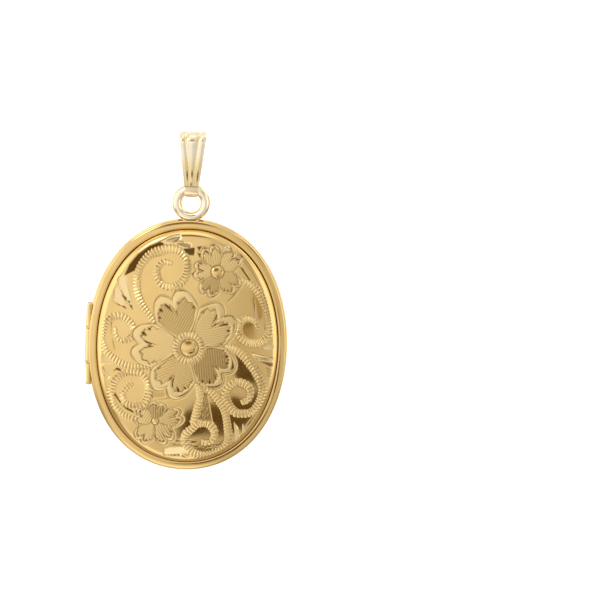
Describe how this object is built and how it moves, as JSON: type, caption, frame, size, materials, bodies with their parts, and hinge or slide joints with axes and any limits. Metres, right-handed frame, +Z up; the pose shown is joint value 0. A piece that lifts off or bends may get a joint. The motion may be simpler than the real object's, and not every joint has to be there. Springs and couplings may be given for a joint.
{
  "type": "locket",
  "caption": "Oval gold photo locket: hand-engraved domed front, smooth back, side hinge, inner picture frames, a round ring and a fluted bail for a chain.",
  "frame": {"origin": "middle of the chain passage in the bail, which holds the locket up", "axes": "+Z up along the hanging locket, -Y out of the engraved front, +X to the viewer's right with the hinge on the -X side"},
  "size_m": [0.0255, 0.0052, 0.0433],
  "materials": {
    "engraved_gold": "polished and hand engraved",
    "polished_gold": "mirror polished",
    "satin_gold": "satin",
    "pale_gold": "mirror polished",
    "clear_plastic": "clear",
    "card": "matt"
  },
  "bodies": {
    "bail": {"bail": "pale_gold"},
    "back_half": {"back_shell": "polished_gold", "upper_knuckle": "polished_gold", "lower_knuckle": "polished_gold", "hinge_pin": "satin_gold", "snap_rim": "satin_gold", "back_bezel": "satin_gold", "back_lens": "clear_plastic", "back_card": "card", "jump_ring": "pale_gold", "ring_seat": "pale_gold"},
    "front_cover": {"front_shell": "engraved_gold", "middle_knuckle": "engraved_gold", "front_bezel": "satin_gold", "front_lens": "clear_plastic", "front_card": "card"}
  },
  "joints": [
    {"name": "bail_swing", "type": "hinge", "parent": "bail", "child": "back_half", "pos_m": [0, 0, -0.00574], "axis": [1, 0, 0], "range_deg": [-135, 135]},
    {"name": "cover_hinge", "type": "hinge", "parent": "back_half", "child": "front_cover", "pos_m": [-0.0124, 0, -0.02568], "axis": [0, 0, -1], "range_deg": [0, 180]}
  ]
}
